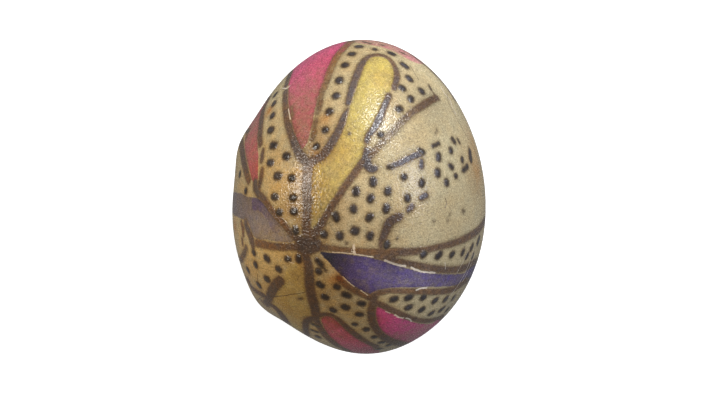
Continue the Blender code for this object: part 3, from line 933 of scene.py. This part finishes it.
class Recipe:
    """The nodes of one material, and the wrapped sockets that formulas are written with."""

    def __init__(self, name):
        self.material = bpy.data.materials.new(name)
        self.material.use_nodes = True
        self.tree = self.material.node_tree
        self.surface = self.tree.nodes["Principled BSDF"].inputs

    def node(self, kind, settings=None, sockets=None, output=0):
        """Adds a node: its settings first, then a value or a link for each socket named."""
        node = self.tree.nodes.new(kind)
        for name, value in (settings or {}).items():
            setattr(node, name, value)
        for name, value in (sockets or {}).items():
            self.feed(node.inputs[name], value)
        return Term(self, node.outputs[output])

    def feed(self, socket, value):
        if isinstance(value, Term):
            self.tree.links.new(value.socket, socket)
        else:
            socket.default_value = value

    def layer(self, name):
        """A number that the drawing keeps at each point of the shell."""
        return self.node("ShaderNodeAttribute", {"attribute_name": name}, output="Fac")

    def noise(self, size, detail=2.0, roughness=0.5, shift=0.0, drawn_out=1.0):
        """Cloudy noise, mostly between -0.5 and 0.5, with blotches of this size in millimetres.

        They can be drawn out along the egg.
        """
        place = self.node("ShaderNodeTexCoord", output="Object")
        moved = {0: place, 1: (1.0, 1.0 / drawn_out, 1.0), 2: (shift, shift, shift)}
        apart = self.node("ShaderNodeVectorMath", {"operation": "MULTIPLY_ADD"}, moved)
        sockets = {"Vector": apart, "Scale": 1 / (size * MM), "Detail": detail, "Roughness": roughness}
        return (self.node("ShaderNodeTexNoise", {"noise_dimensions": "3D"}, sockets) - 0.5) * 2.0

    def step(self, value, low, high):
        """0 below low, 1 above high and a smooth rise between them. With low above high it falls."""
        ends = {"Value": value, "From Min": min(low, high), "From Max": max(low, high)}
        ends["To Min"], ends["To Max"] = (0.0, 1.0) if low < high else (1.0, 0.0)
        return self.node("ShaderNodeMapRange", {"interpolation_type": "SMOOTHSTEP"}, ends)

    def mix(self, first, second, share, blend="MIX"):
        """The first colour where share is 0 and the second, or their blend, where it is 1."""
        settings = {"data_type": "RGBA", "blend_type": blend, "clamp_factor": True}
        return self.node("ShaderNodeMix", settings, {0: share, 6: opaque(first), 7: opaque(second)}, output=2)

    def shade(self, colour, factor):
        """A colour made lighter or darker by a factor."""
        plain = colour if isinstance(colour, Term) else colour[:3]
        return self.node("ShaderNodeVectorMath", {"operation": "SCALE"}, {0: plain, "Scale": factor})


class Term:
    """A socket's value in a formula. Each operator on it adds a Math node."""

    def __init__(self, recipe, socket):
        self.recipe = recipe
        self.socket = socket

    def _math(self, operation, first, second=0.0):
        return self.recipe.node("ShaderNodeMath", {"operation": operation}, {0: first, 1: second})

    def __add__(self, other):
        return self._math("ADD", self, other)

    def __radd__(self, other):
        return self._math("ADD", other, self)

    def __sub__(self, other):
        return self._math("SUBTRACT", self, other)

    def __rsub__(self, other):
        return self._math("SUBTRACT", other, self)

    def __mul__(self, other):
        return self._math("MULTIPLY", self, other)

    def __rmul__(self, other):
        return self._math("MULTIPLY", other, self)

    def __abs__(self):
        return self._math("ABSOLUTE", self)

    def at_most(self, other):
        return self._math("MINIMUM", self, other)

    def at_least(self, other):
        return self._math("MAXIMUM", self, other)


def opaque(colour):
    """A plain colour as a colour socket takes it."""
    return colour if isinstance(colour, Term) else (*colour[:3], 1.0)


# The finish of the shell

DYES = ("ash", "yellow", "rose", "pink", "magenta", "violet", "navy")
# Each film tints what is under it; one is partly painted shade and one partly painted highlight.
FILMS = ("varnish", "grime_and_shade", "rust", "fading_and_highlight")
WHITE = (1.0, 1.0, 1.0)

# Where each thing starts and where it is whole, in millimetres from the edge as it is drawn. The
# distance is below 0 on the paint.
DYE_EDGE = (0.16, -0.16)
SOAKED = (0.7, -0.1)
LINE_EDGE = (0.20, -0.18)
LINE_RIM = (0.0, -0.35)
DOT_EDGE = (0.22, -0.14)
DOT_RIM = (0.05, -0.45)
DOT_BLOOM_AND_SHEEN = (-0.18, -0.50)
BULGE = (0.1, -0.6)
MARK_EDGE = (-0.05, 0.05)
MARK_END = (0.45, 0.3)

# Ranges of a noise or a tone over which something sets in
FRECKLES = (0.08, 0.50)
PORES = (0.34, 0.55)
RUBBED = (0.15, 0.95)
THICK_TONES = (0.45, 0.95)

PORE_DEPTH = 0.012  # in millimetres, like the two after it
MARK_DEPTH = 0.03
WAVES = 0.05  # height of the shell's slow waves
GLOSSIEST = 0.07  # the least roughness anywhere


class ShellFinish(Recipe):
    """The painted shell's material, built up in the order in which the real one came about. Its films and the
    sheen on its lines also hold painted shade and painted highlights.
    """

    def __init__(self, shell, paint):
        super().__init__("painted_shell")
        self.shell = shell
        self.paint = paint
        self.cloud = self.noise(2.2, detail=4.0, roughness=0.6, shift=0.07)
        self.fleck = self.noise(0.45, detail=3.0, roughness=0.65)
        self.grain = self.noise(0.2, detail=1.0, shift=0.05)
        self.wobble = self.noise(0.9, shift=0.02) * 0.12 + self.noise(0.3, shift=0.04) * 0.12
        self.bare_shell()
        self.lay_dyes()
        self.bleed()
        self.draw_lines()
        self.draw_dots()
        self.scratch()
        self.age()
        self.add_relief()

    def uneven(self, **shares):
        """1, with a share of each of the noises named added to it."""
        level = 1.0
        for name, share in shares.items():
            level = level + getattr(self, name) * share
        return level

    def cover(self, colour, share, blend="MIX"):
        self.colour = self.mix(self.colour, colour, share, blend)

    def bare_shell(self):
        tan_share = 0.5 + self.noise(8.0, shift=0.03) * 0.8 + self.cloud * 0.9
        colour = self.mix(self.shell.cream, self.shell.tan, tan_share)
        freckles = self.step(self.noise(0.6, detail=3.0, roughness=0.6, shift=0.11), *FRECKLES)
        colour = self.mix(colour, self.shell.freckle, freckles * self.shell.freckling)
        self.pores = self.step(self.noise(0.24, detail=0.0, shift=0.13), *PORES)
        self.colour = self.shade(colour, self.uneven(cloud=0.24, fleck=0.38, grain=0.50))

    def lay_dyes(self):
        for number, dye in enumerate(DYES):
            inside = self.step(self.layer(dye + "_gap") + self.wobble, *DYE_EDGE)
            self.blotch = self.noise(1.3, detail=4.0, roughness=0.7, shift=0.2 + 0.01 * number)
            amount = self.layer(dye + "_amount") + self.blotch * 0.42
            light = self.uneven(fleck=0.58, blotch=0.55, grain=0.32)
            self.cover(self.shade(getattr(self.paint, dye), light), inside * amount)
        self.colour = self.shade(self.colour, 1.0 - self.pores * 0.38)

    def bleed(self):
        """The paint has soaked a little way into the shell round the lines and dots."""
        near = self.layer("line_gap").at_most(self.layer("dot_gap")) + self.wobble
        self.cover(self.paint.bleed, self.step(near, *SOAKED) * 0.56, blend="MULTIPLY")

    def draw_lines(self):
        gap = self.layer("line_gap") + self.wobble + self.layer("line_tone") * 0.06
        wear = self.layer("line_wear")
        tone = self.layer("line_tone") + self.noise(0.9, detail=3.0, shift=0.09) * 0.9
        # The bluish grey of thick lines is partly their paint's colour and partly painted sheen.
        colour = self.mix(self.mix(self.paint.brown, self.paint.rust, 0.0 - tone), self.paint.slate_and_sheen, tone)
        colour = self.mix(self.paint.edge, colour, self.step(gap, *LINE_RIM))
        colour = self.shade(colour, self.uneven(fleck=0.7, cloud=0.4, grain=0.6))
        rubbed = self.step(self.noise(0.8, detail=4.0, shift=0.15) * 0.8 + wear, *RUBBED)
        self.line = self.step(gap, *LINE_EDGE) * (1.0 - rubbed * 0.62) * (1.0 - wear.at_least(0.0) * 0.25)
        self.thick = self.step(self.layer("line_tone"), *THICK_TONES) * self.line
        self.cover(colour, self.line)

    def draw_dots(self):
        gap = self.layer("dot_gap") + self.wobble
        # A dot's lighter, bluish middle is partly its paint and partly painted sheen.
        bloom_and_sheen = self.step(gap + self.fleck * 0.35, *DOT_BLOOM_AND_SHEEN) * (0.5 + self.noise(2.5, shift=0.19) * 1.6)
        colour = self.mix(self.paint.dot, self.paint.bloom_and_sheen, bloom_and_sheen)
        colour = self.mix(self.paint.dot_edge, colour, self.step(gap, *DOT_RIM))
        self.dot = self.step(gap, *DOT_EDGE)
        self.cover(self.shade(colour, self.uneven(fleck=0.7, grain=0.6)), self.dot)

    def scratch(self):
        side = abs(self.layer("fine_side") + self.wobble * 0.3)
        half = self.layer("fine_width") * (0.5 + self.fleck * 0.6)
        near = self.step(self.layer("fine_gap"), *MARK_END)
        self.mark = self.step(half - side, *MARK_EDGE) * near
        colour = self.mix(self.shell.crack, self.shell.chip, self.layer("fine_tone"))
        self.cover(colour, self.mark * 0.85)

    # The films, real stains with painted shade and highlight among them, then the painted sheen.
    def age(self):
        for film in FILMS:
            amount = self.layer(film) * self.uneven(cloud=0.7, fleck=0.3) * self.shell.film_strength
            self.cover(self.mix(WHITE, getattr(self.shell, film), amount), 1.0, blend="MULTIPLY")
        # Painted highlight: a milky sheen on the lines that sparkles with the grain.
        self.cover(self.shell.painted_sheen, self.layer("painted_sheen") * self.line * (0.9 + self.grain * 1.6))

    def add_relief(self):
        painted = (self.line + self.dot).at_most(1.0)
        coarse_and_painted_glints = self.layer("coarse_and_painted_glints")
        bumps = self.noise(0.36, detail=1.0, shift=0.17)
        streaks = self.noise(0.40, detail=1.0, shift=0.21, drawn_out=2.0) * coarse_and_painted_glints
        # Painted glints and shade: the streaks lighten and darken the colour as well as roughening the
        # relief.
        self.colour = self.shade(self.colour, 1.0 + streaks * 0.9)
        grain = (bumps + self.grain * 0.3 + streaks) * (self.shell.grain / MM)
        crust = (painted - self.thick * 0.2) * bumps * (self.paint.crust / MM)
        ridge = self.step(self.layer("line_gap"), *BULGE) * self.thick * 0.5
        dome = (self.step(self.layer("dot_gap"), *BULGE) + ridge) * (self.paint.dome / MM)
        waves = self.noise(3.0, shift=0.08) * WAVES
        height = painted * (self.paint.relief / MM) + grain + crust + dome + waves
        height = height - self.pores * PORE_DEPTH - self.mark * MARK_DEPTH
        bump = self.node("ShaderNodeBump", None, {"Distance": MM, "Height": height}, output="Normal")
        smooth = self.line * 0.03 + self.thick * 0.08 + self.dot * 0.10 + coarse_and_painted_glints * 0.04
        gloss = self.shell.roughness - smooth + self.grain * (1.0 - self.thick * 0.7) * 0.32
        self.feed(self.surface["Base Color"], self.colour)
        self.feed(self.surface["Roughness"], gloss.at_least(GLOSSIEST))
        self.feed(self.surface["Normal"], bump)


# What a user can change


def colour_of(name, note, red, green, blue):
    colour = (red, green, blue)
    return FloatVectorProperty(name=name, description=note, default=colour, subtype="COLOR", min=0.0, max=2.0)


def share_of(name, note, default):
    return FloatProperty(name=name, description=note, default=default, subtype="FACTOR", min=0.0, max=1.0)


def length_of(name, note, millimetres):
    return FloatProperty(name=name, description=note, default=millimetres * MM, unit="LENGTH", precision=5)


def strength_of(name, note, default):
    return FloatProperty(name=name, description=note, default=default, min=0.0)


class ShellSettings(bpy.types.PropertyGroup):
    cream: colour_of("Cream", "Colour of the clean shell", 0.48, 0.41, 0.255)
    tan: colour_of("Tan", "Colour of the shell where it has yellowed", 0.43, 0.335, 0.185)
    freckle: colour_of("Freckle", "Colour of the small freckles", 0.24, 0.20, 0.11)
    freckling: share_of("Freckling", "How strongly the freckles show", 0.42)
    crack: colour_of("Crack", "Colour of the dirt in the fine cracks", 0.10, 0.07, 0.04)
    chip: colour_of("Chip", "Colour of the shell where paint has chipped off", 0.68, 0.60, 0.50)
    # A painted highlight, sparkling on the lines of the fork and stem.
    painted_sheen: colour_of("Haze", "Colour of the milky bloom on the fork and stem", 0.44, 0.355, 0.275)
    varnish: colour_of("Varnish", "What the yellowed film does to the colours under it", 1.15, 0.84, 0.46)
    # Partly dirt, partly painted shade.
    grime_and_shade: colour_of("Grime", "What the grey film does to the colours under it", 0.52, 0.50, 0.49)
    rust: colour_of("Rust stain", "What the rusty spots do to the colours under them", 0.90, 0.55, 0.26)
    # Partly faded spots, partly painted highlight.
    fading_and_highlight: colour_of("Bleach", "What the cleaner patches do to the colours under them", 1.30, 1.32, 1.34)
    # Scales the films, painted shade and highlight among them.
    film_strength: share_of("Ageing", "How much of the films there is", 1.0)
    roughness: share_of("Roughness", "Roughness of the bare shell", 0.20)
    grain: length_of("Grain", "Height of the shell's fine grain", 0.032)


class PaintSettings(bpy.types.PropertyGroup):
    dot_width: length_of("Dot width", "Width of a usual dot", 1.32)
    thicker: length_of("Thicker lines", "Added to the width of every line", 0.0)
    relief: length_of("Relief", "How far lines and dots stand up in the finish", 0.030)
    dome: length_of("Dome", "How far the middle of a dot bulges", 0.13)
    crust: length_of("Crust", "Height of the bumps in the thick paint of lines and dots", 0.034)
    brown: colour_of("Brown line", "Colour of most lines", 0.126, 0.080, 0.054)
    rust: colour_of("Rust line", "Colour of the thinly drawn lines", 0.22, 0.115, 0.045)
    # Partly the paint's colour, partly painted sheen.
    slate_and_sheen: colour_of("Slate line", "Colour of the thickly drawn lines", 0.100, 0.090, 0.098)
    edge: colour_of("Line's edge", "Colour at the edge of a line", 0.165, 0.112, 0.066)
    dot: colour_of("Dot", "Colour of the dots", 0.036, 0.030, 0.029)
    # Partly the paint's colour, partly painted sheen.
    bloom_and_sheen: colour_of("Dot's middle", "Colour in the thick middle of a dot", 0.072, 0.066, 0.074)
    dot_edge: colour_of("Dot's edge", "Colour at the edge of a dot", 0.125, 0.092, 0.058)
    bleed: colour_of("Bleed", "What soaked-in paint does to the shell round it", 0.42, 0.39, 0.37)
    rose: colour_of("Rose", "Dull dye of the pink petals", 0.34, 0.098, 0.112)
    pink: colour_of("Pink", "Fresh dye of the pink petals", 0.56, 0.090, 0.21)
    magenta: colour_of("Magenta", "Dye of the magenta petal", 0.49, 0.076, 0.21)
    yellow: colour_of("Yellow", "Dye of the yellow petals", 0.455, 0.37, 0.105)
    violet: colour_of("Violet", "Dye of the violet petal", 0.080, 0.058, 0.178)
    navy: colour_of("Navy", "Dye where the violet is darkest", 0.030, 0.030, 0.050)
    ash: colour_of("Ash", "Dye of the grey petal", 0.170, 0.146, 0.166)


class StageSettings(bpy.types.PropertyGroup):
    floor: colour_of("Floor", "Colour of the floor", 0.92, 0.92, 0.92)
    glow: strength_of("Glow", "How strongly the floor is lit from below", 0.6)
    lamps: strength_of("Lamps", "Strength of all the lamps", 1.0)
    sky: strength_of("Sky", "Strength of the light from all round", 0.18)


# The studio

FLOOR_SIZE = 6.0
FLOOR_ROUGHNESS = 0.9

# Around is from +Y towards +X and height is above the floor, both in degrees
Lamp = namedtuple("Lamp", "name around height distance size power tint glossy")
LAMPS = (
    Lamp("far_softbox", 17, 33, 0.6, 0.19, 2.2, (0.98, 1.0, 0.99), glossy=True),
    Lamp("right_softbox", 69, 38, 0.6, 0.20, 1.0, (0.80, 0.84, 1.0), glossy=True),
    Lamp("left_softbox", -76, 35, 0.6, 0.20, 1.5, (1.0, 0.97, 0.90), glossy=True),
    Lamp("far_fill", 15, 8, 0.8, 0.50, 2.5, WHITE, glossy=False),
    Lamp("top_fill", 0, 74, 1.2, 1.40, 5.8, WHITE, glossy=False),
)


def add_lamp(lamp, middle, strength):
    light = bpy.data.lights.new(lamp.name, "AREA")
    light.shape = "DISK"
    light.size = lamp.size
    light.energy = lamp.power * strength
    light.color = lamp.tint
    thing = bpy.data.objects.new(lamp.name, light)
    bpy.context.scene.collection.objects.link(thing)
    turn, rise = math.radians(lamp.around), math.radians(lamp.height)
    way = Vector((math.sin(turn) * math.cos(rise), math.cos(turn) * math.cos(rise), math.sin(rise)))
    thing.location = middle + way * lamp.distance
    thing.rotation_mode = "QUATERNION"
    thing.rotation_quaternion = way.to_track_quat("Z", "Y")
    thing.visible_glossy = lamp.glossy


def add_floor(settings):
    """A lit white table. The shell doesn't mirror it, which keeps the rim of the egg dark."""
    finish = Recipe("pale_floor")
    finish.feed(finish.surface["Base Color"], opaque(settings.floor))
    finish.feed(finish.surface["Roughness"], FLOOR_ROUGHNESS)
    finish.feed(finish.surface["Emission Color"], opaque(settings.floor))
    finish.feed(finish.surface["Emission Strength"], settings.glow)
    bpy.ops.mesh.primitive_plane_add(size=FLOOR_SIZE)
    floor = bpy.context.object
    floor.name = "floor"
    floor.data.materials.append(finish.material)
    floor.visible_glossy = False
    floor.visible_diffuse = False


def add_sky(strength):
    world = bpy.data.worlds.new("studio")
    world.use_nodes = True
    sky = world.node_tree.nodes["Background"].inputs
    sky["Color"].default_value = opaque(WHITE)
    sky["Strength"].default_value = strength
    bpy.context.scene.world = world


def add_camera(view):
    data = bpy.data.cameras.new("camera")
    data.lens = LENS
    data.sensor_width = SENSOR
    data.clip_start = CAMERA_NEAR
    camera = bpy.data.objects.new("camera", data)
    bpy.context.scene.collection.objects.link(camera)
    camera.matrix_world = view.matrix()
    bpy.context.scene.camera = camera


# Operators and panel


class MakeEgg(bpy.types.Operator):
    """Make the painted egg in place of its plain solid"""

    bl_idname = "easter_egg.make_egg"
    bl_label = "Painted egg"

    def execute(self, context):
        egg = egg_of_the_frame()
        data = make_shell_mesh(egg)
        draw_on(data, PhotoView(egg), context.scene.egg_paint)
        finish = ShellFinish(context.scene.egg_shell, context.scene.egg_paint)
        data.materials.append(finish.material)
        piece = bpy.data.objects.new("painted_egg", data)
        context.scene.collection.objects.link(piece)
        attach(piece, "root")
        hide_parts("egg")
        return {"FINISHED"}


class SetStage(bpy.types.Operator):
    """Add the floor, the lamps, the sky and the camera"""

    bl_idname = "easter_egg.set_stage"
    bl_label = "Stage"

    def execute(self, context):
        settings = context.scene.egg_stage
        view = PhotoView(egg_of_the_frame())
        add_floor(settings)
        for lamp in LAMPS:
            add_lamp(lamp, view.middle, settings.lamps)
        add_sky(settings.sky)
        add_camera(view)
        context.scene.view_settings.view_transform = "Standard"
        return {"FINISHED"}


class EggPanel(bpy.types.Panel):
    bl_idname = "VIEW3D_PT_easter_egg"
    bl_label = "Painted Easter Egg"
    bl_space_type = "VIEW_3D"
    bl_region_type = "UI"
    bl_category = "Easter Egg"

    def draw(self, context):
        for operator in (MakeEgg, SetStage):
            self.layout.operator(operator.bl_idname)
        for name, kind in SETTINGS.items():
            box = self.layout.box()
            for setting in kind.__annotations__:
                box.prop(getattr(context.scene, name), setting)


SETTINGS = {"egg_shell": ShellSettings, "egg_paint": PaintSettings, "egg_stage": StageSettings}
CLASSES = (ShellSettings, PaintSettings, StageSettings, MakeEgg, SetStage, EggPanel)


def register():
    for kind in CLASSES:
        bpy.utils.register_class(kind)
    for name, kind in SETTINGS.items():
        setattr(bpy.types.Scene, name, bpy.props.PointerProperty(type=kind))


def unregister():
    for name in SETTINGS:
        delattr(bpy.types.Scene, name)
    for kind in reversed(CLASSES):
        bpy.utils.unregister_class(kind)


def main():
    register()
    bpy.ops.easter_egg.make_egg()
    bpy.ops.easter_egg.set_stage()


if __name__ == "__main__":
    main()
